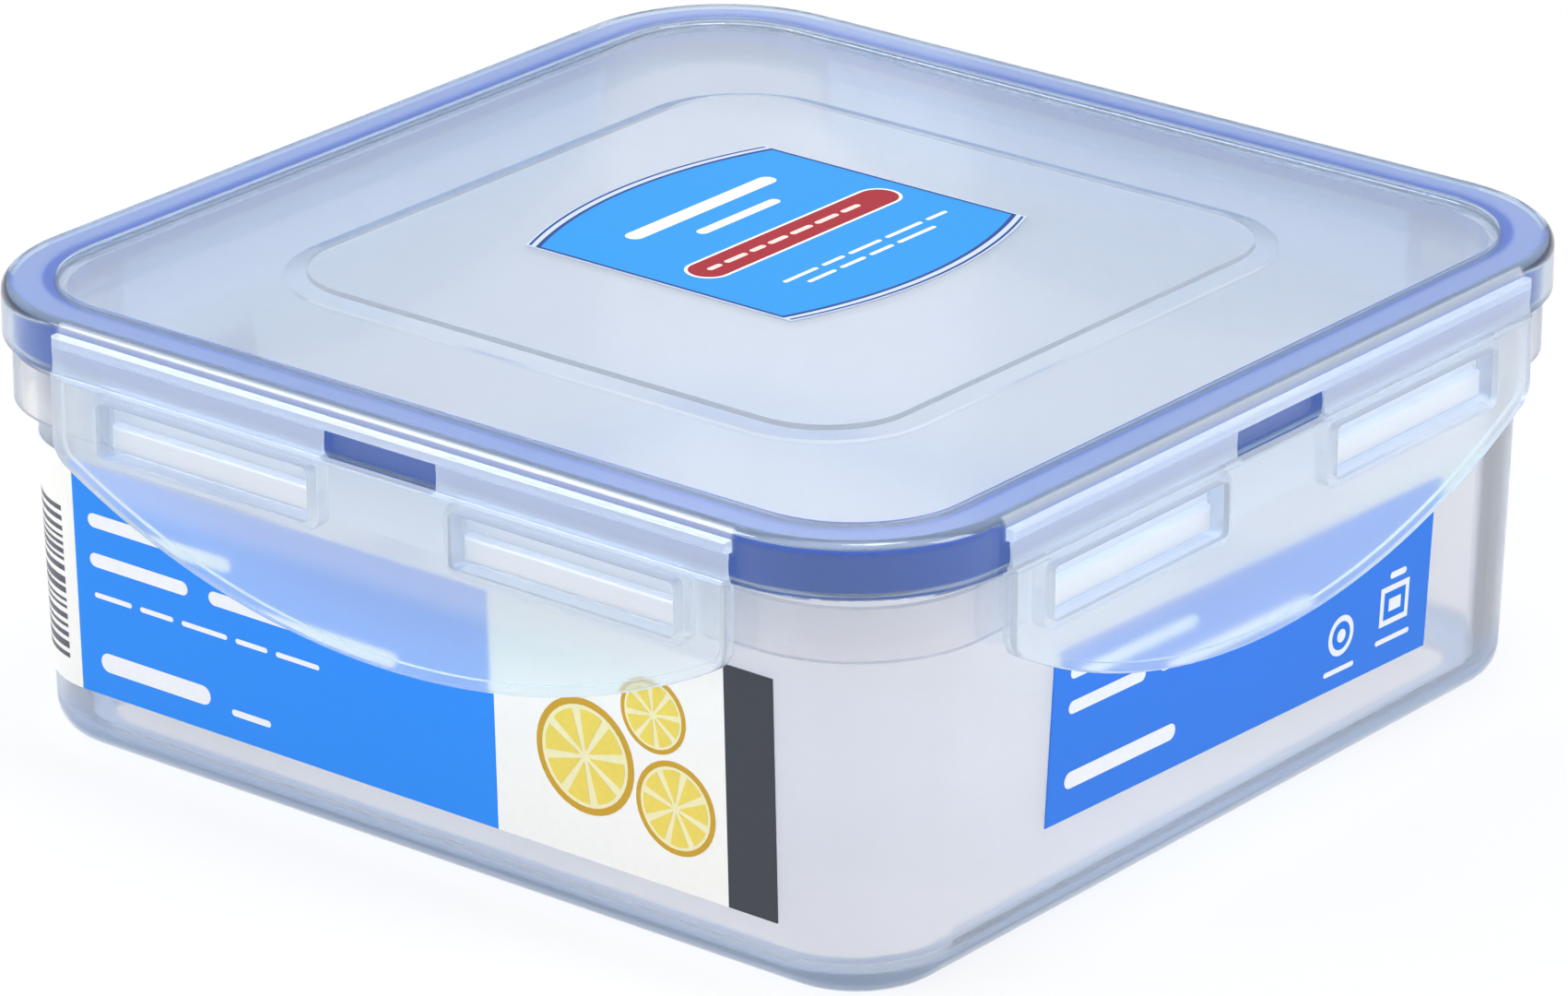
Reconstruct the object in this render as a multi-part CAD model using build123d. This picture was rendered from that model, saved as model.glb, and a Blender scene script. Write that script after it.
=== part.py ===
"""A square, lidded food box: a clear tub, a lid with a soft seal, and four snap-down flaps.

Millimetres, +Z up. The origin is the middle of the footprint at table height.
The front is -Y and carries the wide wrap label; the right side, +X, carries the narrow one.
"""
from build123d import *
import math
import os

# Overall sizes
overall_height = 60.8
rim_width = 151.8
rim_corner_radius = 22.5

# Lid plate, rim and channel for the seal
lid_plate = 1.3
lid_skirt_wall = 1.2
lid_skirt_depth = 6.9
rim_edge_radius = 1.6
band_width = 6.9
plug_wall = 1.4
shelf_step = 1.0
shelf_edge_radius = 0.6

# Raised panel in the middle of the lid
panel_half = 48.8
panel_corner_radius = 15.0
panel_flank = 3.0
panel_rise = 0.8

# Seal
seal_roof_gap = 0.2
seal_side_gap = 0.2
seal_body_height = 2.9
seal_leg_height = 2.3
seal_edge_radius = 0.5
seal_seat_gap = 0.05

# Tub
tub_wall = 1.5
tub_draft_deg = 1.8
tub_corner_radius = 12.8  # at the ground
plug_gap = 0.5
floor_thickness = 1.6
foot_height = 1.0
foot_width = 2.5
base_radius = 4.5
tub_skirt_wall = 1.2
tub_skirt_depth = 8.0
tub_skirt_corner_radius = 18.5
tub_skirt_edge_radius = 0.5
flange_gap = 0.5
flange_thickness = 1.5

# Flaps
flap_thickness = 1.3
flap_gap = 0.3
flap_half_width = 53.4
flap_drop = 31.4
flap_end_drop = 17.0
flap_end_radius = 4.0
flap_edge_radius = 0.35
flap_notch_depth = 0.5
flap_notch_radius = 0.4
flap_lip_width = 1.2
flap_lip_depth = 0.6

# Windows in the flaps and the lugs that they lock under
window_centre = 28.5
window_length = 34.6
window_height = 7.1
window_frame = 1.2
window_corner_radius = 0.8
frame_top_gap = 0.2
frame_depth = 2.0
frame_skirt_gap = 0.3
lug_end_gap = 0.5
lug_lip_gap = 0.2
lug_height = 3.4
lug_edge_radius = 0.6
latch_gap = 0.3

# Living hinges
ledge_drop = 1.4
ledge_height = 1.5
ledge_gap = 0.04
ledge_reach = 1.3
ledge_edge_radius = 0.4
strip_height = 3.2
strip_thickness = 0.5
strip_inset = 0.6
hinge_slot = 18.0

# Labels
label_thickness = 0.15
label_glue_gap = 0.03
front_label_left_reach = 31.0
front_label_right = 55.1
front_label_bottom = 8.9
front_label_height = 31.7
side_label_centre_y = 3.2
side_label_centre_z = 24.1
side_label_length = 79.6
side_label_height = 23.2
side_label_tilt_deg = -1.8
sticker_centre_x = -4.9
sticker_centre_y = 4.9
sticker_half_length = 23.9
sticker_half_width = 21.4
sticker_bow = 4.6
sticker_thickness = 0.12

# Heights that follow from the sizes above
lid_top = overall_height
channel_roof = lid_top - lid_plate
lid_skirt_bottom = lid_top - lid_skirt_depth
shelf_top = lid_top - shelf_step
shelf_bottom = shelf_top - lid_plate
panel_top = shelf_top + panel_rise
seal_top = channel_roof - seal_roof_gap
seal_body_bottom = seal_top - seal_body_height
seal_leg_bottom = seal_body_bottom - seal_leg_height
tub_top = seal_body_bottom - seal_seat_gap
flange_top = lid_skirt_bottom - flange_gap
tub_skirt_bottom = flange_top - tub_skirt_depth
floor_top = foot_height + floor_thickness

# Half widths, measured outward from the middle of the box
rim_half = rim_width / 2
corner_centre = rim_half - rim_corner_radius
channel_outer = rim_half - lid_skirt_wall
channel_inner = rim_half - band_width
plug_inner = channel_inner - plug_wall
seal_outer = channel_outer - seal_side_gap
seal_inner = channel_inner + seal_side_gap
tub_top_half = channel_inner + plug_gap + tub_wall
seal_leg_inner = tub_top_half + seal_side_gap
draft_slope = math.tan(math.radians(tub_draft_deg))
tub_base_half = tub_top_half - tub_top * draft_slope
tub_corner_centre = tub_base_half - tub_corner_radius
flap_inner = rim_half + flap_gap
flap_outer = flap_inner + flap_thickness
frame_reach = flap_inner - frame_depth
tub_skirt_half = frame_reach - frame_skirt_gap
lug_face = flap_inner - flap_lip_depth - lug_lip_gap

# Flap, hinge and window heights
ledge_top = lid_top - ledge_drop
ledge_bottom = ledge_top - ledge_height
ledge_outer = rim_half + ledge_reach
flap_top = ledge_bottom - strip_height
flap_bottom = lid_top - flap_drop
flap_end_bottom = lid_top - flap_end_drop
strip_inner = rim_half + strip_inset
frame_top = lid_skirt_bottom - frame_top_gap
window_top = frame_top - window_frame
window_bottom = window_top - window_height
lug_bottom = window_bottom + latch_gap
lug_length = window_length - 2 * lug_end_gap

# Quarter turns that carry the front side's pieces round the box
side_turns = {"front": 0, "right": 90, "back": 180, "left": 270}


def corner_radius(half):
    """The corner radius that keeps a wall at this half width even all round."""
    return half - corner_centre


def block(half, low, high, radius=None):
    """A rounded square block between two heights."""
    outline = RectangleRounded(2 * half, 2 * half, radius or corner_radius(half))
    return extrude(Pos(0, 0, low) * outline, high - low)


def drafted_block(half_at_ground, low, high, centre):
    """A rounded square block whose walls lean out at the tub's draft angle."""
    half = half_at_ground + low * draft_slope
    outline = RectangleRounded(2 * half, 2 * half, half - centre)
    return extrude(Pos(0, 0, low) * outline, high - low, taper=-tub_draft_deg)


def bar(left, right, near, far, low, high):
    """A box along the front side: near and far are distances outward from the middle."""
    length = right - left
    depth = far - near
    centre = Pos((left + right) / 2, -(near + far) / 2, (low + high) / 2)
    return centre * Box(length, depth, high - low)


def around(solid):
    """The same piece on all four sides."""
    return [Rot(0, 0, turn) * solid for turn in side_turns.values()]


def make_lug(centre):
    """One locking lug: a rounded rib on the tub's skirt."""
    half = lug_length / 2
    lug = bar(centre - half, centre + half, tub_skirt_half - tub_skirt_wall / 2, lug_face,
              lug_bottom, lug_bottom + lug_height)
    outer_face = lug.faces().sort_by(Axis.Y)[0]
    return fillet(outer_face.edges(), lug_edge_radius)


def make_tub():
    """The tub: drafted walls, a foot ring, a sealing rim, a turned-down skirt and eight lugs."""
    shell = drafted_block(tub_base_half, 0, flange_top, tub_corner_centre)
    shell = fillet(shell.edges().group_by(Axis.Z)[0], base_radius)
    shell += drafted_block(tub_base_half, flange_top - flange_thickness, tub_top, corner_centre)
    hollow = drafted_block(tub_base_half - tub_wall, floor_top, tub_top + 1, corner_centre)
    hollow = fillet(hollow.edges().group_by(Axis.Z)[0], base_radius - tub_wall)
    foot_half = tub_base_half - base_radius - foot_width
    foot_hollow = block(foot_half, -1, foot_height, foot_half - tub_corner_centre)
    skirt = block(tub_skirt_half, tub_skirt_bottom, flange_top, tub_skirt_corner_radius)
    skirt = fillet(skirt.edges().group_by(Axis.Z)[-1], tub_skirt_edge_radius)
    skirt_inner = tub_skirt_half - tub_skirt_wall
    skirt -= block(skirt_inner, tub_skirt_bottom - 1, flange_top - flange_thickness,
                   tub_skirt_corner_radius - tub_skirt_wall)
    tub = shell + skirt
    for centre in (-window_centre, window_centre):
        for lug in around(make_lug(centre)):
            tub += lug
    return tub - hollow - foot_hollow


def make_raised_panel(shift):
    """The low, soft-edged panel in the middle of the lid, moved down by a distance."""
    top_half = panel_half - panel_flank
    foot = RectangleRounded(2 * panel_half, 2 * panel_half, panel_corner_radius)
    top = RectangleRounded(2 * top_half, 2 * top_half, panel_corner_radius - panel_flank)
    sections = [Pos(0, 0, shelf_top - shift) * foot, Pos(0, 0, panel_top - shift) * top]
    return loft(sections, ruled=True)


def make_lid():
    """The lid: a plate with a raised panel, and a rim that makes a channel for the seal."""
    lid = block(rim_half, lid_skirt_bottom, lid_top)
    lid = fillet(lid.edges().group_by(Axis.Z)[-1], rim_edge_radius)
    recess = block(channel_inner, shelf_top, lid_top + 1)
    recess = fillet(recess.edges().group_by(Axis.Z)[0], shelf_edge_radius)
    channel = block(channel_outer, lid_skirt_bottom - 1, channel_roof)
    channel -= block(channel_inner, lid_skirt_bottom - 1, channel_roof)
    underside = block(plug_inner, lid_skirt_bottom - 1, shelf_bottom)
    lid = lid - recess - channel - underside
    lid += make_raised_panel(0)
    return lid - make_raised_panel(lid_plate)


def make_seal():
    """The seal: a soft ring with a leg outside the tub's rim."""
    seal = block(seal_outer, seal_leg_bottom, seal_top)
    seal -= block(seal_inner, seal_leg_bottom - 1, seal_top + 1)
    seal -= block(seal_leg_inner, seal_leg_bottom - 1, seal_body_bottom)
    rounded = seal.edges().group_by(Axis.Z)[0] + seal.edges().group_by(Axis.Z)[-1]
    return fillet(rounded, seal_edge_radius)


def flap_outline():
    """The flap seen from outside: straight ends and one long bowed lower edge."""
    top_left = (-flap_half_width, flap_top)
    top_right = (flap_half_width, flap_top)
    low_left = (-flap_half_width, flap_end_bottom)
    low_right = (flap_half_width, flap_end_bottom)
    edges = [
        Line(top_left, top_right),
        Line(top_right, low_right),
        ThreePointArc(low_right, (0, flap_bottom), low_left),
        Line(low_left, top_left),
    ]
    outline = make_face(edges)
    low_corners = outline.vertices().group_by(Axis.Y)[:-1]
    return fillet([corner for level in low_corners for corner in level], flap_end_radius)


def stand_up(sketch, inner, outer):
    """Stand a sketch up on the front side, between two distances from the middle."""
    upright = Plane(origin=(0, -inner, 0), x_dir=(1, 0, 0), z_dir=(0, -1, 0))
    return extrude(upright * sketch, outer - inner)


def make_flap():
    """One flap: a bowed plate with two framed windows and a lip along its edge."""
    outline = flap_outline()
    plate = stand_up(outline, flap_inner, flap_outer)
    outer_face = plate.faces().sort_by(Axis.Y)[0]
    plate = fillet(outer_face.edges(), flap_edge_radius)
    inside = offset(outline, -flap_lip_width)
    below_frames = Pos(0, frame_top - overall_height) * Rectangle(rim_width, 2 * overall_height)
    lip = stand_up((outline - inside) & below_frames, flap_inner - flap_lip_depth, flap_inner)
    flap = plate + lip
    frame_height = window_height + 2 * window_frame
    window_middle = (window_top + window_bottom) / 2
    for centre in (-window_centre, window_centre):
        place = Pos(centre, window_middle)
        frame = place * RectangleRounded(window_length + 2 * window_frame, frame_height,
                                         window_corner_radius + window_frame)
        window = place * RectangleRounded(window_length, window_height, window_corner_radius)
        flap += stand_up(frame, frame_reach, flap_inner)
        flap -= stand_up(window, frame_reach - 1, flap_outer + 1)
    notch = Pos(0, flap_top) * RectangleRounded(hinge_slot, 2 * flap_notch_depth,
                                                flap_notch_radius)
    return flap - stand_up(notch, flap_inner - 1, flap_outer + 1)


def make_hinge_ledge():
    """The bar along the rim's edge from which a flap hangs."""
    ledge = bar(-flap_half_width, flap_half_width, rim_half + ledge_gap, ledge_outer,
                ledge_bottom, ledge_top)
    outer_face = ledge.faces().sort_by(Axis.Y)[0]
    return fillet(outer_face.edges(), ledge_edge_radius)


def make_hinge_strips():
    """The two thin strips that join a flap to the lid, with a slot between them."""
    strips = []
    for side in (-1, 1):
        ends = sorted((side * hinge_slot / 2, side * flap_half_width))
        strips.append(bar(ends[0], ends[1], strip_inner, strip_inner + strip_thickness,
                          flap_top, ledge_bottom))
    return Compound(children=strips)


def label_skin():
    """A thin skin just outside the tub's drafted wall."""
    glue_half = tub_base_half + label_glue_gap
    outside = drafted_block(glue_half + label_thickness, 0, tub_skirt_bottom, tub_corner_centre)
    return outside - drafted_block(glue_half, 0, tub_skirt_bottom, tub_corner_centre)


def make_front_label():
    """The wide label: it covers the front and turns the front left corner."""
    top = front_label_bottom + front_label_height
    turn = -corner_centre
    front = bar(-rim_half, front_label_right, corner_centre, rim_half, front_label_bottom, top)
    left = Pos((turn - rim_half) / 2, turn + front_label_left_reach / 2,
               front_label_bottom + front_label_height / 2)
    left *= Box(rim_half + turn, front_label_left_reach, front_label_height)
    return label_skin() & (front + left)


def make_side_label():
    """The narrow label on the right side, stuck on slightly crooked as in the photograph."""
    window = Box(2 * corner_radius(rim_half), side_label_length, side_label_height)
    place = Pos(rim_half, side_label_centre_y, side_label_centre_z)
    return label_skin() & (place * Rot(side_label_tilt_deg, 0, 0) * window)


def make_lid_sticker():
    """The lid's sticker: two straight edges and two bowed ones."""
    bowed = sticker_half_width + sticker_bow
    top_left = (-sticker_half_width, sticker_half_length)
    top_right = (sticker_half_width, sticker_half_length)
    low_left = (-sticker_half_width, -sticker_half_length)
    low_right = (sticker_half_width, -sticker_half_length)
    edges = [
        Line(top_left, top_right),
        ThreePointArc(top_right, (bowed, 0), low_right),
        Line(low_right, low_left),
        ThreePointArc(low_left, (-bowed, 0), top_left),
    ]
    outline = make_face(edges)
    place = Pos(sticker_centre_x, sticker_centre_y, panel_top + label_glue_gap)
    return extrude(place * outline, sticker_thickness)


def save(name, shape):
    """Write one piece under its own name."""
    export_step(shape, os.path.join("parts", name + ".step"))


os.makedirs("parts", exist_ok=True)
save("tub", make_tub())
save("lid_panel", make_lid())
save("seal_ring", make_seal())
save("front_label", make_front_label())
save("right_label", make_side_label())
save("lid_sticker", make_lid_sticker())
flap = make_flap()
ledge = make_hinge_ledge()
strips = make_hinge_strips()
for side, turn in side_turns.items():
    save(side + "_flap", Rot(0, 0, turn) * flap)
    save(side + "_hinge_ledge", Rot(0, 0, turn) * ledge)
    save(side + "_hinge_strips", Rot(0, 0, turn) * strips)
print("overall width across the flaps", 2 * flap_outer, "height", overall_height)
print("flap hinge axis: out", strip_inner + strip_thickness / 2,
      "up", (flap_top + ledge_bottom) / 2)
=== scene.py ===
# %% [markdown]
# # A clear food box with snap-down flaps
# The solids of this box come from CAD: a tub, a lid, a soft seal, four flaps and three labels.
# This lesson dresses them in Blender. We load the parts, set the camera and a plain studio,
# mix a clear plastic for each moulding, and print the labels as thin films of ink.

# %% Load the parts
import math
import random

import bmesh
import bpy
from mathutils import Matrix, Vector


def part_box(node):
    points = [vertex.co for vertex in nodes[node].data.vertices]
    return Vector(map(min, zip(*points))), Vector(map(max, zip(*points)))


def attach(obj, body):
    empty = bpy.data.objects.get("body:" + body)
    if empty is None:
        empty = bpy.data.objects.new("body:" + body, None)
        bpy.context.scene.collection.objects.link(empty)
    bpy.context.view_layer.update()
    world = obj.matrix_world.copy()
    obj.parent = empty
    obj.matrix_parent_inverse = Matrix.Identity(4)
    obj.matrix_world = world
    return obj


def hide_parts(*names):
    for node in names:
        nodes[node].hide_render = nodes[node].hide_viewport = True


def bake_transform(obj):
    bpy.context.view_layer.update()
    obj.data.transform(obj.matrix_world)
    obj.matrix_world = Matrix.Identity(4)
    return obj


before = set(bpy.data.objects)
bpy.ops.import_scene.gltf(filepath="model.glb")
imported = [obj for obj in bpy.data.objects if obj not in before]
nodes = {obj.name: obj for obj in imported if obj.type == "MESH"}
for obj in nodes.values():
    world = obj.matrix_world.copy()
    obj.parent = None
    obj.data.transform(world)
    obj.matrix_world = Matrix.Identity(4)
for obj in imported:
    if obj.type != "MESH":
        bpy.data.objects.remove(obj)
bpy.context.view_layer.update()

# %% [markdown]
# ## Where things are
# Every later piece is placed from these few measures, so nothing is fitted by eye. The lid's box
# gives the rim, and the wide label's box gives the tub's wall, which leans out by its draft. The
# rim's corner radius and the draft can't be read from a box, so they are written here once.

# %% Read the main measures from the parts
MM = 0.001
RIM_CORNER_RADIUS = 22.5 * MM
TUB_DRAFT = math.tan(math.radians(1.8))
lid_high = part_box("lid_panel")[1]
label_low, label_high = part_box("front_label")
side_low, side_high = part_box("right_label")
sticker_low, sticker_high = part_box("lid_sticker")
lid_top = lid_high.z
rim_half = lid_high.x
corner_centre = rim_half - RIM_CORNER_RADIUS
print("rim half width", rim_half, "lid top", lid_top)

# %% [markdown]
# ## The camera
# The photograph was taken with a long lens from above the front right corner. A camera can be
# turned by angles or aimed by a constraint; here it is aimed with three directions of its own,
# back along the view, to its right, and up, so that a small sideways shift is easy to add. The
# long focal length keeps the sides of the box nearly parallel, as they are in the picture.

# %% Aim the camera
VIEW_TURN = math.radians(38.765)
VIEW_RISE = math.radians(22.040)
VIEW_DISTANCE = 6.86346  # in rim widths, as the shift is
VIEW_SHIFT = Vector((0.000615, -0.205679))
SENSOR_WIDTH = 36.0
FOCAL_IN_WIDTHS = 9000 / 1701

rim_width = 2 * rim_half
back = Vector((math.sin(VIEW_TURN) * math.cos(VIEW_RISE),
               -math.cos(VIEW_TURN) * math.cos(VIEW_RISE), math.sin(VIEW_RISE)))
right = Vector((math.cos(VIEW_TURN), math.sin(VIEW_TURN), 0))
up = back.cross(right)
offset = VIEW_DISTANCE * back + VIEW_SHIFT.x * right + VIEW_SHIFT.y * up
camera = bpy.data.objects.new("camera", bpy.data.cameras.new("camera"))
camera.data.sensor_width = SENSOR_WIDTH
camera.data.lens = FOCAL_IN_WIDTHS * SENSOR_WIDTH
turn = Matrix((right, up, back)).transposed().to_4x4()
camera.matrix_world = Matrix.Translation(Vector((0, 0, lid_top)) + rim_width * offset) @ turn
bpy.context.scene.collection.objects.link(camera)
bpy.context.scene.camera = camera
print("camera at", tuple(round(v, 3) for v in camera.matrix_world.translation))

# %% [markdown]
# ## Small helpers for shader nodes
# A material is a graph of nodes. Linking each by hand takes three lines a node, so `add_node`
# makes one and fills in its sockets, and each finish below reads as a short list of what it is
# made of. `put` takes either a plain value or the socket of another node.


# %% Add nodes
def new_material(name):
    material = bpy.data.materials.new(name)
    material.use_nodes = True
    tree = material.node_tree
    return material, tree, tree.nodes["Principled BSDF"], tree.nodes["Material Output"]


def put(tree, socket, value):
    """Fill a socket with a plain value, or link another node's socket to it."""
    if isinstance(value, bpy.types.NodeSocket):
        tree.links.new(value, socket)
    else:
        socket.default_value = value


def add_node(tree, kind, settings=None, **inputs):
    """A node with its settings and its inputs by name, with an underscore for each space."""
    node = tree.nodes.new(kind)
    for key, value in (settings or {}).items():
        setattr(node, key, value)
    for key, value in inputs.items():
        put(tree, node.inputs[key.replace("_", " ")], value)
    return node


def rgb(red, green, blue):
    return (red, green, blue, 1.0)


# %% [markdown]
# Sums on values and on vectors, and blends, come back again and again in the finishes. Each gets
# a helper that returns the socket with the answer, so that one can be put straight into another.


# %% Sums and blends
def maths(tree, operation, first, second):
    """One sum on two values."""
    node = add_node(tree, "ShaderNodeMath", {"operation": operation})
    put(tree, node.inputs[0], first)
    put(tree, node.inputs[1], second)
    return node.outputs[0]


def vector_maths(tree, operation, *vectors):
    """One sum on vectors; the node is returned, as some sums give a vector and some a value."""
    node = add_node(tree, "ShaderNodeVectorMath", {"operation": operation})
    for socket, vector in zip(node.inputs, vectors):
        put(tree, socket, vector)
    return node


def mix_node(tree, settings, sockets, values):
    """A Mix node, whose sockets for values and for colours are told apart by their numbers."""
    node = add_node(tree, "ShaderNodeMix", settings)
    for socket, value in zip(sockets, values):
        put(tree, node.inputs[socket], value)
    return node


def colour_mix(tree, share, first, second, blend="MIX"):
    """Blend two colours."""
    settings = {"data_type": "RGBA", "blend_type": blend}
    return mix_node(tree, settings, (0, 6, 7), (share, first, second)).outputs[2]


def value_mix(tree, share, first, second):
    """Blend two values."""
    return mix_node(tree, {"data_type": "FLOAT"}, (0, 2, 3), (share, first, second)).outputs[0]


def shader_mix(tree, share, first, second, output):
    """Blend two shaders and send the result to the material's or the world's output."""
    mix = add_node(tree, "ShaderNodeMixShader", Fac=share)
    tree.links.new(first.outputs[0], mix.inputs[1])
    tree.links.new(second.outputs[0], mix.inputs[2])
    tree.links.new(mix.outputs[0], output.inputs["Surface"])


# %% [markdown]
# A finish also has to know where on the piece it is. The parts all sit at the origin, so their
# object space is the space of the whole box, and a height or a distance there means the same on
# every part. Noise in that space gives the small unevenness that every real surface has.


# %% Places, shares and noise
def place(tree):
    """Where a point lies, in the space of the box at rest."""
    return add_node(tree, "ShaderNodeTexCoord").outputs["Object"]


def part_of(tree, vector, axis):
    """One number, X, Y or Z, of a vector."""
    return add_node(tree, "ShaderNodeSeparateXYZ", Vector=vector).outputs[axis]


def share_between(tree, value, start, end):
    """Smoothly from 0 at the start to 1 at the end."""
    return add_node(tree, "ShaderNodeMapRange", {"interpolation_type": "SMOOTHSTEP"}, Value=value,
                    From_Min=start, From_Max=end).outputs["Result"]


def remap(tree, value, low, high):
    """Spread a 0 to 1 value between two others."""
    node = add_node(tree, "ShaderNodeMapRange", Value=value, To_Min=low, To_Max=high)
    return node.outputs["Result"]


def noise_value(tree, scale, detail=2.0, roughness=0.5):
    """Noise in the space of the box, with about as many patches in a metre as the scale says."""
    noise = add_node(tree, "ShaderNodeTexNoise", Vector=place(tree), Scale=scale,
                     Detail=detail, Roughness=roughness)
    return noise.outputs["Fac"]


def add_bump(tree, shader, height, distance, strength):
    """Raise the surface by a height pattern, without changing the mesh."""
    bump = add_node(tree, "ShaderNodeBump", Height=height, Distance=distance, Strength=strength)
    tree.links.new(bump.outputs["Normal"], shader.inputs["Normal"])


# %% [markdown]
# ## The floor
# The box stands on white paper. A plain white surface would go grey in the shade and through the
# plastic, and more lamps would wash out the box. So the paper glows by itself a little where the
# camera sees it, which still leaves the box's soft shadow, and it is plain white to the rays that
# went through the plastic or glanced off it. That is how the clear walls show bright paper.

# %% Floor
FLOOR_HALF = 3.0
FLOOR_DROP = 0.1 * MM
PAPER_GLOW = 0.8

floor_mesh = bpy.data.meshes.new("floor")
corners = [(-FLOOR_HALF, -FLOOR_HALF), (FLOOR_HALF, -FLOOR_HALF),
           (FLOOR_HALF, FLOOR_HALF), (-FLOOR_HALF, FLOOR_HALF)]
floor_mesh.from_pydata([(x, y, -FLOOR_DROP) for x, y in corners], [], [(0, 1, 2, 3)])
floor = bpy.data.objects.new("floor", floor_mesh)
bpy.context.scene.collection.objects.link(floor)
paper, tree, shader, output = new_material("white_paper")
shader.inputs["Base Color"].default_value = rgb(0.92, 0.92, 0.925)
shader.inputs["Roughness"].default_value = 0.7
glow = add_node(tree, "ShaderNodeEmission", Color=rgb(1, 1, 1), Strength=1.0)
rays = add_node(tree, "ShaderNodeLightPath").outputs
by_plastic = maths(tree, "MAXIMUM", rays["Is Transmission Ray"], rays["Is Glossy Ray"])
by_camera = maths(tree, "MULTIPLY", rays["Is Camera Ray"], PAPER_GLOW)
shader_mix(tree, maths(tree, "MAXIMUM", by_plastic, by_camera), shader, glow, output)
floor_mesh.materials.append(paper)
print("floor", 2 * FLOOR_HALF, "m wide")

# %% [markdown]
# ## The room and its lamps
# A product photograph has soft light from all round. The world gives it: grey walls that turn
# paler with height, so that clear edges have something darker to show, and plain white behind the
# box for the camera. Four broad lamps add shape: two from the sides, one above, and a faint tall
# one behind, which draws a window's streak along the lid.

# %% World
WALL_LOW, WALL_HIGH = -0.05, 0.55
LOW_WALL = rgb(0.58, 0.61, 0.68)
HIGH_WALL = rgb(0.90, 0.91, 0.93)
ROOM_STRENGTH = 0.70

world = bpy.data.worlds.new("studio")
bpy.context.scene.world = world
world.use_nodes = True
sky = world.node_tree
lit = sky.nodes["Background"]
direction = add_node(sky, "ShaderNodeTexCoord").outputs["Generated"]
rise = add_node(sky, "ShaderNodeMapRange", Value=part_of(sky, direction, "Z"),
                From_Min=WALL_LOW, From_Max=WALL_HIGH).outputs["Result"]
put(sky, lit.inputs["Color"], colour_mix(sky, rise, LOW_WALL, HIGH_WALL))
lit.inputs["Strength"].default_value = ROOM_STRENGTH
plain = add_node(sky, "ShaderNodeBackground", Color=rgb(1, 1, 1), Strength=1.0)
seen = add_node(sky, "ShaderNodeLightPath").outputs["Is Camera Ray"]
shader_mix(sky, seen, lit, plain, sky.nodes["World Output"])
print("room strength", ROOM_STRENGTH)


# %% Lamps
def add_lamp(name, spot, size, power, aim=(0, 0, 0.03)):
    """A broad lamp at a spot, turned to face the box."""
    lamp = bpy.data.lights.new(name, "AREA")
    lamp.energy = power
    lamp.shape = "RECTANGLE"
    lamp.size, lamp.size_y = size
    holder = bpy.data.objects.new(name, lamp)
    bpy.context.scene.collection.objects.link(holder)
    holder.location = spot
    holder.rotation_euler = (Vector(aim) - Vector(spot)).to_track_quat("-Z", "Y").to_euler()


add_lamp("key_lamp", (-0.6, -0.55, 0.75), (0.4, 0.4), 4.5)
add_lamp("side_lamp", (0.85, 0.2, 0.7), (0.4, 0.4), 3.0)
add_lamp("edge_lamp", (0.15, 0.0, 0.95), (0.25, 0.25), 2.2)
add_lamp("window_lamp", (-0.72, 0.90, 0.50), (0.10, 0.6), 0.07)
bpy.context.scene.view_settings.view_transform = "Standard"
bpy.context.scene.cycles.max_bounces = 24
bpy.context.scene.cycles.transmission_bounces = 24
bpy.context.scene.cycles.transparent_max_bounces = 32

# %% [markdown]
# ## Clear plastic
# The mouldings are clear polypropylene: light goes through, bends, and leaves with the faint tint
# of the wall. It could be done with a Glass shader alone, but this plastic also has a milky share,
# so the Principled shader's transmission mixes the two. Three things are added. The tint deepens
# where we look along a wall, as light then runs through more of it. Shadow rays get plain
# transparency, because light bent twice is slow to find and leaves black shadows. And noise
# varies the haze and ripples the surface, since a moulded wall is never as even as window glass.


# %% Clear plastic
PLASTIC_IOR = 1.49
EDGE_START, EDGE_END = 0.66, 0.97
RIPPLE_DEPTH = 0.01 * MM


def edge_share(tree, start, end):
    """From 0 where we look straight at a wall to 1 where we look along it."""
    facing = add_node(tree, "ShaderNodeLayerWeight", Blend=0.5).outputs["Facing"]
    return share_between(tree, facing, start, end)


def clear_plastic(name, tint, edge_tint, haze, clearness, edge=(EDGE_START, EDGE_END), zones=()):
    """Clear plastic. Each zone is (share, tint, edge tint, clearness): where, and how it differs."""
    material, tree, shader, output = new_material(name)
    shader.inputs["IOR"].default_value = PLASTIC_IOR
    shader.inputs["Transmission Weight"].default_value = clearness
    face = rgb(*tint)
    rim = rgb(*edge_tint)
    clear = clearness
    for find_share, zone_tint, zone_edge, zone_clearness in zones:
        share = find_share(tree)
        face = colour_mix(tree, share, face, rgb(*zone_tint))
        rim = colour_mix(tree, share, rim, rgb(*zone_edge))
        clear = value_mix(tree, share, clear, zone_clearness)
    put(tree, shader.inputs["Transmission Weight"], clear)
    wall = colour_mix(tree, edge_share(tree, *edge), face, rim)
    cloud = noise_value(tree, 14.0, 1.0)
    uneven = colour_mix(tree, cloud, rgb(0.985, 0.985, 0.985), rgb(1, 1, 1))
    put(tree, shader.inputs["Base Color"], colour_mix(tree, 1.0, wall, uneven, "MULTIPLY"))
    smudge = noise_value(tree, 60.0, 4.0, 0.6)
    put(tree, shader.inputs["Roughness"], remap(tree, smudge, 0.6 * haze, 1.4 * haze))
    add_bump(tree, shader, noise_value(tree, 90.0), RIPPLE_DEPTH, 1.0)
    shade = add_node(tree, "ShaderNodeBsdfTransparent", Color=rgb(*tint))
    shadow = add_node(tree, "ShaderNodeLightPath").outputs["Is Shadow Ray"]
    shader_mix(tree, shadow, shader, shade, output)
    return material


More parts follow.
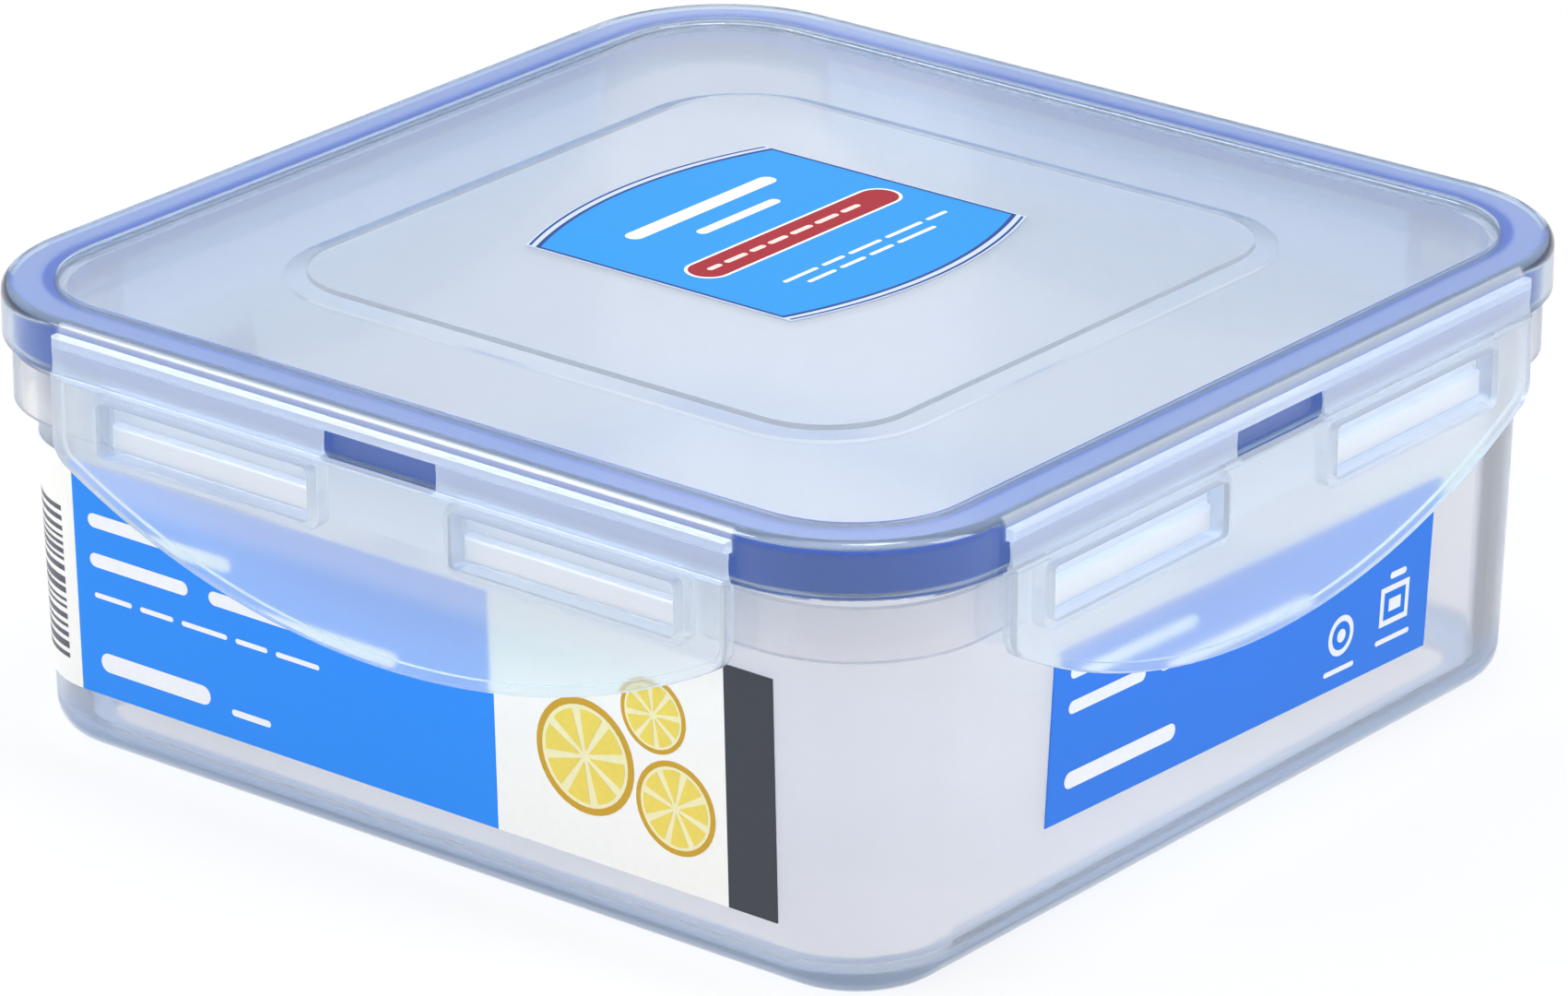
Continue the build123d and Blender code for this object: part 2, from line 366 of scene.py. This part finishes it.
def dress(node_name, material):
    """Give every material slot of a CAD part this finish."""
    for holder in nodes[node_name].material_slots:
        holder.material = material
    print("dressed", node_name, "in", material.name)


# %% [markdown]
# ## Where the plastic changes
# One moulding doesn't look the same all over: a thick foot is darker than a thin wall, and a
# frosted face is milkier than a polished one. Splitting the mesh would let each face have its own
# material, but the CAD meshes stay as they are. So each zone is a share from 0 to 1, worked out
# from the place of the point: its height, and how far it lies out from the middle of the box.


# %% Distances on the box
SOFT_EDGE = 1.0 * MM


def corner_reach(tree):
    """How far out a point lies from the square through the centres of the box's corners."""
    size = vector_maths(tree, "ABSOLUTE", place(tree)).outputs["Vector"]
    square = (corner_centre, corner_centre, 1.0)
    beyond = vector_maths(tree, "SUBTRACT", size, square).outputs["Vector"]
    kept = vector_maths(tree, "MAXIMUM", beyond).outputs["Vector"]
    return vector_maths(tree, "LENGTH", kept).outputs["Value"]


def rise_share(tree, low, high):
    """From 0 below one height to 1 above another."""
    return share_between(tree, part_of(tree, place(tree), "Z"), low, high)


def along_sides(tree, half_length):
    """1 along the middle of each side, 0 round the corners."""
    size = vector_maths(tree, "ABSOLUTE", place(tree)).outputs["Vector"]
    nearer = maths(tree, "MINIMUM", part_of(tree, size, "X"), part_of(tree, size, "Y"))
    return share_between(tree, nearer, half_length, half_length - SOFT_EDGE)


def product(tree, first, second):
    return maths(tree, "MULTIPLY", first, second)


# %% [markdown]
# ## The tub
# The tub has thin, almost colourless walls. Its rounded foot is thick and shows as a darker,
# bluer line along the table. The turned-down skirt under its rim lies behind the flaps; there it
# is painted paler and milkier, a painted highlight for the lugs and the flaps' frames that catch
# the light in the windows, while the stretch at the corners stays clear. A volume shader inside
# the walls would deepen the thick foot by itself, but slowly and with noise; two zones with soft
# edges are quicker and stay clean.

# %% Dress the tub
FOOT_TOP = 3.6 * MM
FOOT_FADE = 1.2 * MM
FOOT_INNER = 9.0 * MM
TUB_SKIRT_BOTTOM = 45.4 * MM
SKIRT_FADE = 0.8 * MM
LUG_END = 46.0 * MM
LUG_MARGIN = 2.0 * MM


def foot_edge(tree):
    """1 on the thick rounded edge at the foot of the wall, 0 on the wall and the floor."""
    low = rise_share(tree, FOOT_TOP + FOOT_FADE, FOOT_TOP)
    outer = share_between(tree, corner_reach(tree), FOOT_INNER, FOOT_INNER + SOFT_EDGE)
    return product(tree, low, outer)


def painted_window_highlight(tree):
    """Painted highlight in the windows: 1 on the tub's skirt and lugs along the sides, 0 round its
    corners and below.
    """
    above = rise_share(tree, TUB_SKIRT_BOTTOM - SKIRT_FADE, TUB_SKIRT_BOTTOM)
    return product(tree, along_sides(tree, LUG_END + LUG_MARGIN), above)


# The second zone is a painted highlight: the skirt seen through the flaps' windows is paler and
# milkier.
tub_zones = [(foot_edge, (0.50, 0.60, 0.75), (0.80, 0.88, 0.96), 0.55),
             (painted_window_highlight, (0.97, 0.985, 1.0), (0.80, 0.88, 0.97), 0.45)]
tub_plastic = clear_plastic("tub_plastic", (0.885, 0.885, 0.905), (0.22, 0.36, 0.58), 0.12, 0.87,
                            (0.60, 0.90), tub_zones)
dress("tub", tub_plastic)

# %% [markdown]
# ## The lid
# The lid's skirt is clear, and the seal shows through it. The rim's top has a blue cast from the
# seal below, with a paler line painted along its middle as a highlight. The plate inside the rim
# is a little milky. The outer edge of the rim where the flaps' ledges meet it is painted paler as
# a highlight. One even plastic would be either too milky at the corner, where the seal is seen, or
# too clear on top, so the lid has four zones.

# %% Dress the lid
RIM_TOP_START = 58.7 * MM
RIM_TOP_FADE = 0.8 * MM
RIM_INNER = 15.4 * MM
RIM_INNER_FADE = 0.05 * MM
RIM_BAND_INNER = 16.8 * MM
RIM_BAND_OUTER = 21.4 * MM
RIM_BAND_FADE = 0.8 * MM
LEDGE_ROOT = 21.5 * MM
LEDGE_BOTTOM = 57.9 * MM
LEDGE_FADE = 0.4 * MM
FLAP_END = 53.4 * MM
FLAP_MARGIN = 0.5 * MM


def rim_top(tree):
    """1 on the upper side of the lid's rim, 0 on the skirt below it."""
    return rise_share(tree, RIM_TOP_START, RIM_TOP_START + RIM_TOP_FADE)


def rim_middle_highlight(tree):
    """Painted highlight: 1 along the middle of the rim's top, 0 at its inner and outer edges."""
    reach = corner_reach(tree)
    inner = share_between(tree, reach, RIM_BAND_INNER, RIM_BAND_INNER + SOFT_EDGE)
    outer = share_between(tree, reach, RIM_BAND_OUTER, RIM_BAND_OUTER - RIM_BAND_FADE)
    return product(tree, product(tree, inner, outer), rim_top(tree))


# A painted highlight along the rim's outer edge beside the ledges.
def ledge_edge_highlight(tree):
    """Painted highlight: 1 on the rim's outer edge where the hinge ledges meet it, 0 elsewhere."""
    outer = share_between(tree, corner_reach(tree), LEDGE_ROOT, LEDGE_ROOT + LEDGE_FADE)
    above = rise_share(tree, LEDGE_BOTTOM - LEDGE_FADE, LEDGE_BOTTOM)
    along = along_sides(tree, FLAP_END + FLAP_MARGIN)
    return product(tree, product(tree, along, outer), above)


def inside_rim(tree):
    """1 on the lid's plate and 0 on its rim."""
    return share_between(tree, corner_reach(tree), RIM_INNER + RIM_INNER_FADE, RIM_INNER)


# The second and third zones are painted highlights: paler, milkier bands where the rim's top and its
# outer edge catch the light.
lid_zones = [(rim_top, (0.58, 0.70, 0.90), (0.54, 0.70, 0.97), 0.97),
             (rim_middle_highlight, (0.78, 0.86, 0.93), (0.72, 0.83, 0.99), 0.86),
             (ledge_edge_highlight, (0.84, 0.90, 0.98), (0.74, 0.84, 0.98), 0.60),
             (inside_rim, (0.76, 0.81, 0.885), (0.40, 0.60, 0.96), 0.84)]
lid_plastic = clear_plastic("lid_plastic", (0.74, 0.85, 0.98), (0.48, 0.65, 0.96), 0.10, 0.97,
                            zones=lid_zones)
dress("lid_panel", lid_plastic)

# %% [markdown]
# ## The flaps
# The flaps are milkier than the lid, because their faces are frosted in the mould. Below their
# window frames they are plain and thin, so there the labels show through more. A rougher surface
# would blur the labels behind it instead of veiling them, so the milk comes from less clearness.

# %% Dress the flaps and the ledges
SIDES = ("front", "right", "back", "left")
FRAME_BOTTOM = 42.0 * MM
FRAME_FADE = 4.0 * MM


def below_frames(tree):
    """1 on a flap's plain lower part, 0 beside its window frames."""
    return rise_share(tree, FRAME_BOTTOM, FRAME_BOTTOM - FRAME_FADE)


flap_zones = [(below_frames, (0.86, 0.955, 0.98), (0.66, 0.76, 0.92), 0.84)]
flap_plastic = clear_plastic("flap_plastic", (0.90, 0.94, 0.98), (0.66, 0.76, 0.92), 0.15, 0.74,
                             zones=flap_zones)
hinge_plastic = clear_plastic("hinge_plastic", (0.85, 0.905, 0.98), (0.62, 0.74, 0.92), 0.2, 0.68)
for side in SIDES:
    dress(side + "_flap", flap_plastic)
    dress(side + "_hinge_ledge", hinge_plastic)

# %% [markdown]
# ## The seal
# A ring of blue silicone lies in the lid's channel. Silicone is soft and a little greasy. It needs
# no light inside it to look right here, so a strong colour, a wide soft highlight and the fine
# grain of its mould do the work.


# %% Silicone
def soft_silicone():
    material, tree, shader, output = new_material("seal_silicone")
    tone = colour_mix(tree, noise_value(tree, 35.0, 3.0), rgb(0.004, 0.085, 0.39),
                      rgb(0.008, 0.115, 0.46))
    put(tree, shader.inputs["Base Color"], tone)
    shader.inputs["Specular Tint"].default_value = rgb(0.45, 0.60, 1.0)
    grain = noise_value(tree, 900.0)
    put(tree, shader.inputs["Roughness"], remap(tree, grain, 0.38, 0.5))
    add_bump(tree, shader, grain, 0.02 * MM, 0.6)
    return material


dress("seal_ring", soft_silicone())

# %% [markdown]
# ## Living hinges
# Each flap hangs from the lid by two thin strips of the same plastic, thinnest across their
# middle, where they bend. Each strip is made again here as a fine grid, pinched across its
# middle, in place of the CAD strip, which is hidden.

# %% Hinge strip meshes
SLOT_HALF = 9.0 * MM
STRIP_ROWS = 16
STRIP_COLUMNS = 12
STRIP_PINCH = 0.45


def strip_rings(bm, low, high, along, sign):
    """Rings of points round one strip, from its top to its foot, pinched in the middle."""
    across = 1 - along
    middle = (low[across] + high[across]) / 2
    half_thick = (high[across] - low[across]) / 2
    rings = []
    for row in range(STRIP_ROWS + 1):
        share = row / STRIP_ROWS
        pinch = 1 - STRIP_PINCH * math.sin(math.pi * share) ** 2
        ring = []
        for face in (-1, 1):
            order = range(STRIP_COLUMNS + 1)
            for column in order if face < 0 else reversed(order):
                spot = SLOT_HALF + (high[along] - SLOT_HALF) * column / STRIP_COLUMNS
                point = [0.0, 0.0, high.z + (low.z - high.z) * share]
                point[along] = sign * spot
                point[across] = middle + face * pinch * half_thick
                ring.append(bm.verts.new(point))
        rings.append(ring)
    return rings


def hinge_strip_mesh(side):
    """Both strips of one side, each a closed skin over its rings."""
    low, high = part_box(side + "_hinge_strips")
    along = 0 if side in ("front", "back") else 1
    bm = bmesh.new()
    for sign in (-1, 1):
        rings = strip_rings(bm, low, high, along, sign)
        count = len(rings[0])
        for upper, lower in zip(rings, rings[1:]):
            for index in range(count):
                after = (index + 1) % count
                bm.faces.new((upper[index], upper[after], lower[after], lower[index]))
        for ring in (rings[0], rings[-1]):
            for column in range(STRIP_COLUMNS):
                bm.faces.new((ring[column], ring[column + 1],
                              ring[count - 2 - column], ring[count - 1 - column]))
    bmesh.ops.recalc_face_normals(bm, faces=bm.faces)
    mesh = bpy.data.meshes.new(side + "_living_hinge")
    bm.to_mesh(mesh)
    bm.free()
    return mesh



# %% Add the hinge strips
def add_piece(name, mesh, material):
    """A new visible piece, with its finish and the record's material slot."""
    piece = bpy.data.objects.new(name, mesh)
    bpy.context.scene.collection.objects.link(piece)
    mesh.materials.append(material)
    for polygon in mesh.polygons:
        polygon.use_smooth = False
    return piece


for side in SIDES:
    strip = add_piece(side + "_living_hinge", hinge_strip_mesh(side), hinge_plastic)
    low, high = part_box(side + "_hinge_strips")
    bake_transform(strip)
    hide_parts(side + "_hinge_strips")
    print(strip.name, "faces", len(strip.data.polygons))

# %% [markdown]
# ## Label paper
# The labels are coated paper with a gloss varnish, and plain paper on the side that is glued to
# the wall. A picture of the print would be the usual way, but drawn colours stay sharp at any
# size. The big fields of colour belong to the paper itself, so its shader changes colour at named
# places along the label. Smaller print is added afterwards as thin films of ink.


# %% Label paper
def field_colour(tree, fields):
    """One colour after another along X, each from its start: a list of (start, colour)."""
    along = part_of(tree, place(tree), "X")
    colour = rgb(*fields[0][1])
    for start, tone in fields[1:]:
        past = maths(tree, "GREATER_THAN", along, start)
        colour = colour_mix(tree, past, colour, rgb(*tone))
    return colour


def faces_inward(tree):
    """1 on the faces that look towards the middle of the box, 0 on the others."""
    normal = add_node(tree, "ShaderNodeTexCoord").outputs["Normal"]
    outward = vector_maths(tree, "DOT_PRODUCT", place(tree), normal).outputs["Value"]
    return maths(tree, "LESS_THAN", outward, 0.0)


def coated_paper(name, fields, back_tone=(0.80, 0.80, 0.80)):
    """Paper with a plain back and fields of colour on its front."""
    material, tree, shader, output = new_material(name)
    colour = colour_mix(tree, faces_inward(tree), field_colour(tree, fields), rgb(*back_tone))
    fibre = noise_value(tree, 700.0, 3.0, 0.6)
    worn = add_node(tree, "ShaderNodeHueSaturation", Color=colour,
                    Value=remap(tree, fibre, 0.97, 1.03))
    put(tree, shader.inputs["Base Color"], worn.outputs["Color"])
    put(tree, shader.inputs["Roughness"], remap(tree, fibre, 0.28, 0.42))
    shader.inputs["Specular IOR Level"].default_value = 0.3
    add_bump(tree, shader, fibre, 0.006 * MM, 0.5)
    return material


# %% [markdown]
# The colours are kept in one list, so that the paper and the ink can share a white or a blue.
# They are linear values, which look darker as numbers than as colours.

# %% Dress the labels
WHITE = (0.90, 0.905, 0.92)
WARM_WHITE = (0.94, 0.93, 0.885)
PALE_BLUE = (0.60, 0.70, 0.86)
BLUE = (0.010, 0.26, 0.90)
DEEP_BLUE = (0.004, 0.185, 0.78)
SKY_BLUE = (0.012, 0.30, 0.78)
NAVY = (0.008, 0.05, 0.26)
CHARCOAL = (0.10, 0.11, 0.14)
BLACK = (0.042, 0.048, 0.062)
RED = (0.36, 0.001, 0.014)
PALE_RED = (0.92, 0.72, 0.66)
OCHRE = (0.62, 0.36, 0.03)
LEMON = (0.86, 0.68, 0.12)
PALE_LEMON = (0.90, 0.84, 0.50)

BLUE_START = -57.0 * MM
WHITE_START = 11.8 * MM
BLACK_START = 47.7 * MM
front_fields = [(label_low.x, WARM_WHITE), (BLUE_START, BLUE), (WHITE_START, WARM_WHITE),
                (BLACK_START, BLACK)]
dress("front_label", coated_paper("front_label_paper", front_fields))
dress("right_label", coated_paper("right_label_paper", [(0, DEEP_BLUE)]))
dress("lid_sticker", coated_paper("lid_sticker_paper", [(0, PALE_BLUE)]))

# %% [markdown]
# ## Films of ink
# Print is a layer of ink far thinner than the paper. Each film is drawn flat, as outlines in
# millimetres on the label, and then laid on the surface by a function that knows where that label
# is. A Solidify modifier gives the film its thickness, so it is a closed piece like any other.
# Films that lie on each other are one film's thickness apart. On the walls they are a little
# thicker, so that they never flicker into each other; on the sticker they have to stay below the
# highest point of the rim.

# %% Lay a flat drawing on a surface
WALL_FILM = 0.015 * MM
STICKER_FILM = 0.006 * MM
SAME_POINT = 0.001 * MM


def ink(name, tone):
    """Ink with a soft gloss and a fine speckle."""
    material, tree, shader, output = new_material(name)
    speck = noise_value(tree, 1200.0)
    varied = add_node(tree, "ShaderNodeHueSaturation", Color=rgb(*tone),
                      Value=remap(tree, speck, 0.95, 1.05))
    put(tree, shader.inputs["Base Color"], varied.outputs["Color"])
    put(tree, shader.inputs["Roughness"], remap(tree, speck, 0.25, 0.4))
    shader.inputs["Specular IOR Level"].default_value = 0.15
    return material


def lay_film(name, outlines, lay, tone, body, layer=1):
    """One film of ink from flat outlines, each a list of (along, up) points in millimetres."""
    thick = STICKER_FILM if body == "lid" else WALL_FILM
    bm = bmesh.new()
    for outline in outlines:
        points = [lay(s * MM, t * MM, (2 * layer - 1) * thick) for s, t in outline]
        bm.faces.new([bm.verts.new(point) for point in points])
    bmesh.ops.remove_doubles(bm, verts=bm.verts, dist=SAME_POINT)
    mesh = bpy.data.meshes.new(name)
    bm.to_mesh(mesh)
    bm.free()
    film = add_piece(name, mesh, ink(name + "_ink", tone))
    thicken = film.modifiers.new("thickness", "SOLIDIFY")
    thicken.thickness = thick
    thicken.offset = 1
    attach(film, body)
    print(name, "outlines", len(outlines))


# %% [markdown]
# The prints need only a few shapes: rectangles, discs and slices of discs, and rules with round
# ends. A row of rules of uneven length stands in for a line of words.


# %% Flat shapes for the prints
def rectangle(left, right, low, high):
    return [(left, low), (right, low), (right, high), (left, high)]


def arc(centre_s, centre_t, radius, start, sweep, points):
    """Points along an arc, both ends included."""
    return [(centre_s + radius * math.cos(start + sweep * i / points),
             centre_t + radius * math.sin(start + sweep * i / points)) for i in range(points + 1)]


def disc(centre_s, centre_t, radius, points=40):
    return arc(centre_s, centre_t, radius, 0.0, 2 * math.pi, points)[:-1]


def rule(left, right, middle, thick, points=8):
    """A plain rule with round ends."""
    half = thick / 2
    return (arc(right - half, middle, half, -math.pi / 2, math.pi, points)
            + arc(left + half, middle, half, math.pi / 2, math.pi, points))


def word_rules(left, right, middle, thick, seed, shortest, longest, gap):
    """A row of plain rules of uneven length."""
    lengths = random.Random(seed)
    rules = []
    start = left
    while start + shortest <= right:
        end = min(start + lengths.uniform(shortest, longest), right)
        rules.append(rule(start, end, middle, thick))
        start = end + gap
    return rules


# %% [markdown]
# ## The front label's print
# The wide label wraps the front left corner. `front_wall` follows the tub's wall: straight across
# the front, round the corner, and on along the left side. A Shrinkwrap modifier could press flat
# print onto the wall, but it would stretch it at the corner, and this keeps every length true.

# %% Follow the tub's wall
LABEL_CORNER_RADIUS = 12.98 * MM  # of the labels' outer face, at the ground


def wall_reach(height):
    """How far the labels' outer face stands from the middle of the box at a height."""
    return -label_low.y - (label_high.z - height) * TUB_DRAFT


label_middle = (label_low.z + label_high.z) / 2
wall_corner_centre = wall_reach(0) - LABEL_CORNER_RADIUS
corner_arc = (wall_reach(label_middle) - wall_corner_centre) * math.pi / 2


def front_wall(along, height, lift):
    """A place on the label, by its length from the middle of the front and its height."""
    reach = wall_reach(height) + lift
    side = 1 if along > 0 else -1
    beyond = abs(along) - wall_corner_centre
    if beyond <= 0:
        return Vector((along, -reach, height))
    if beyond < corner_arc:
        angle = beyond / corner_arc * math.pi / 2
        radius = reach - wall_corner_centre
        return Vector((side * (wall_corner_centre + radius * math.sin(angle)),
                       -(wall_corner_centre + radius * math.cos(angle)), height))
    return Vector((side * reach, -wall_corner_centre + beyond - corner_arc, height))


print("the corner takes", round(corner_arc / MM, 1), "mm of label")

# %% [markdown]
# The blue field carries plain white rules in rows, and round the corner the white end of the
# label carries a block of dark stripes of uneven width. The stripes are cut into short cells, so
# that they bend with the corner.

# %% Print the front label
top = lid_top / MM
rules = [rule(-54.5, -30, top - 28, 1.9)]
rules += [rule(-54.5, -38, top - 33.4, 1.9), rule(-34.5, -3, top - 33.4, 1.9)]
rules += word_rules(-54, -14, top - 38.2, 0.7, 7, 5, 9, 1.4)
rules += [rule(-53.5, -35, top - 47.2, 2.6), rule(-31.5, -25, top - 48.2, 0.9)]
lay_film("front_label_rules", rules, front_wall, WHITE, "tub")

# %% Print the stripes
STRIPE_COLUMNS = 6
STRIPE_LEFT, STRIPE_RIGHT = -67.5, -59.4
STRIPE_LOW, STRIPE_HIGH = top - 48.5, top - 27
STRIPE_SEED = 11

stripe_widths = random.Random(STRIPE_SEED)
cell = (STRIPE_RIGHT - STRIPE_LEFT) / STRIPE_COLUMNS
stripes = []
low = STRIPE_LOW
while low < STRIPE_HIGH:
    high = low + stripe_widths.uniform(0.35, 1.0)
    stripes += [rectangle(STRIPE_LEFT + column * cell, STRIPE_LEFT + (column + 1) * cell, low, high)
                for column in range(STRIPE_COLUMNS)]
    low = high + stripe_widths.uniform(0.45, 0.8)
lay_film("front_label_stripes", stripes, front_wall, CHARCOAL, "tub")

# %% [markdown]
# The white part of the label carries three fruit slices of our own: an ochre rind, a paler pith,
# and eight wedges in each. A slice could be one mesh with three materials, but print is laid down
# one colour after another, so each colour is a film over all three slices.

# %% Fruit slices
WEDGES = 8
WEDGE_GAP = 0.07
WEDGE_SHIFT = 0.09
WEDGE_AIM = 0.32
PITH_SHARE = 0.88
WEDGE_SHARE = 0.72


def wedge(s, t, radius, start):
    """One wedge of a fruit slice, moved out a little from the middle."""
    s += WEDGE_SHIFT * radius * math.cos(start + WEDGE_AIM)
    t += WEDGE_SHIFT * radius * math.sin(start + WEDGE_AIM)
    sweep = 2 * math.pi / WEDGES - 2 * WEDGE_GAP
    return [(s, t)] + arc(s, t, WEDGE_SHARE * radius, start, sweep, 8)


slices = [(26.0, top - 38.2, 7.6, 0.2), (39.9, top - 41.2, 6.1, 0.5), (36.8, top - 29.8, 5.0, 0.9)]
rinds = [disc(s, t, radius) for s, t, radius, first in slices]
piths = [disc(s, t, PITH_SHARE * radius) for s, t, radius, first in slices]
wedges = [wedge(s, t, radius, first + index * 2 * math.pi / WEDGES + WEDGE_GAP)
          for s, t, radius, first in slices for index in range(WEDGES)]
lay_film("fruit_rinds", rinds, front_wall, OCHRE, "tub", 1)
lay_film("fruit_piths", piths, front_wall, PALE_LEMON, "tub", 2)
lay_film("fruit_wedges", wedges, front_wall, LEMON, "tub", 3)

# %% [markdown]
# ## The side label's print
# The narrow label was stuck on a little crooked. Its print is drawn square to the label, and
# `side_wall` turns it with the label, which is simpler than drawing slanted shapes. It carries
# rows of plain rules and two simple marks, a ring and a framed square.

# %% Place the side label's print
SIDE_TILT = math.radians(-1.8)
side_centre_y = (side_low.y + side_high.y) / 2
side_centre_z = (side_low.z + side_high.z) / 2


def side_wall(along, rise, lift):
    """A place on the side label, by its distances from the label's middle."""
    y = side_centre_y + along * math.cos(SIDE_TILT) - rise * math.sin(SIDE_TILT)
    z = side_centre_z + along * math.sin(SIDE_TILT) + rise * math.cos(SIDE_TILT)
    return Vector((wall_reach(z) + lift, y, z))


side_rules = [rule(-36.5, -12, 7.6, 1.7)]
side_rules += [rule(-36.5, -21, 3.0, 1.7), rule(-18, 12.5, 3.0, 1.7)]
side_rules += [rule(-36.5, -14, -6.6, 2.2)]
side_rules += [rule(17.5, 24.0, -9.2, 0.7), rule(28.6, 36.0, -8.2, 0.7)]
side_rules += word_rules(31, 37.5, 0.4, 0.9, 23, 2.6, 3.6, 0.8)
lay_film("side_label_rules", side_rules, side_wall, WHITE, "tub")

# %% Print the two marks
ring = [disc(20.8, -4.6, radius) for radius in (2.7, 1.9, 0.9)]
square = [rectangle(29.2, 35.4, -6.2, -0.9), rectangle(30.0, 34.6, -5.4, -1.7),
          rectangle(31.0, 33.6, -4.4, -2.7)]
mark_films = [("side_label_marks", WHITE), ("side_label_mark_centres", DEEP_BLUE),
              ("side_label_mark_cores", WHITE)]
for index, (name, tone) in enumerate(mark_films):
    lay_film(name, [ring[index], square[index]], side_wall, tone, "tub",
             index + 1)

# %% [markdown]
# ## The lid's sticker
# The sticker has two straight edges and two bowed ones. A blue field follows that shape a little
# inside it, with a fine navy line round it, and a second fine line near each bowed edge. The
# lines are ribbons between two outlines, cut into four-sided cells, as a face with a hole in it
# isn't possible in a mesh.

# %% Sticker outlines
STICKER_BOW = 4.6
BOW_STEPS = 24
FIELD_INSET = 1.9
FIELD_END_INSET = 0.7

sticker_centre = (sticker_low + sticker_high) / 2
sticker_half_length = (sticker_high.y - sticker_low.y) / 2 / MM
sticker_half_width = (sticker_high.x - sticker_low.x) / 2 / MM - STICKER_BOW


def on_sticker(s, t, lift):
    """A place on the sticker, by its distances from the sticker's middle."""
    return Vector((s + sticker_centre.x, t + sticker_centre.y, sticker_high.z + lift))


def bowed_outline(side_inset, end_inset):
    """The sticker's outline, moved in: straight across both ends, bowed along both sides."""
    half_width = sticker_half_width - side_inset
    half_length = sticker_half_length - end_inset
    radius = (half_length ** 2 + STICKER_BOW ** 2) / (2 * STICKER_BOW)
    centre = half_width + STICKER_BOW - radius
    reach = math.asin(half_length / radius)
    right_side = arc(centre, 0, radius, -reach, 2 * reach, BOW_STEPS)
    return right_side + [(-s, -t) for s, t in right_side]


def ribbon(outer, inner):
    """The space between two outlines with as many points, as four-sided cells."""
    ends = list(zip(outer, inner))
    return [[outer_one, outer_two, inner_two, inner_one]
            for (outer_one, inner_one), (outer_two, inner_two) in zip(ends, ends[1:] + ends[:1])]


# %% Print the field and the lines
field = bowed_outline(FIELD_INSET, FIELD_END_INSET)
lay_film("sticker_field", [field], on_sticker, SKY_BLUE, "lid")
edge_line = ribbon(bowed_outline(FIELD_INSET - 0.5, FIELD_END_INSET - 0.45), field)
side_line = ribbon(bowed_outline(0.2, 0.35), bowed_outline(0.6, 0.35))
bowed_cells = [cell for index, cell in enumerate(side_line) if (index + 1) % (BOW_STEPS + 1)]
lay_film("sticker_lines", edge_line + bowed_cells, on_sticker, NAVY, "lid")

# %% [markdown]
# A plain red band with round ends lies across the field, with a white border and a row of pale
# rules, and plain white rules lie on both sides of it. They all run along the box's Y axis. New
# shapes for that direction would repeat the old ones, so they are drawn along X and then turned.

# %% Print the band and the rules
BAND_MIDDLE = 2.2
BAND_WIDTH = 5.4
BAND_NEAR, BAND_FAR = -19.0, 20.5
BAND_BORDER = 0.45


def turned(shapes):
    """Swap along and up, so that a row of rules runs along Y instead of X."""
    return [[(t, s) for s, t in reversed(shape)] for shape in shapes]


def band(grow):
    """A plain band with round ends, grown by a border."""
    return turned([rule(BAND_NEAR - grow, BAND_FAR + grow, BAND_MIDDLE, BAND_WIDTH + 2 * grow, 20)])


lay_film("sticker_band_edge", band(BAND_BORDER), on_sticker, WHITE, "lid", 2)
lay_film("sticker_band", band(0), on_sticker, RED, "lid", 3)
band_rules = turned(word_rules(-16.5, 17, BAND_MIDDLE, 0.9, 43, 2.5, 5, 0.8))
lay_film("sticker_band_rules", band_rules, on_sticker, PALE_RED, "lid", 4)

sticker_rules = turned([rule(-14, 15, -12.8, 2.6), rule(-7, 9, -7.1, 1.7)])
sticker_rules += turned(word_rules(-14, 19, 12.3, 0.7, 37, 4, 8, 1.0))
sticker_rules += turned(word_rules(-12, 17, 14.6, 0.7, 41, 4, 8, 1.0))
lay_film("sticker_rules", sticker_rules, on_sticker, WHITE, "lid", 2)
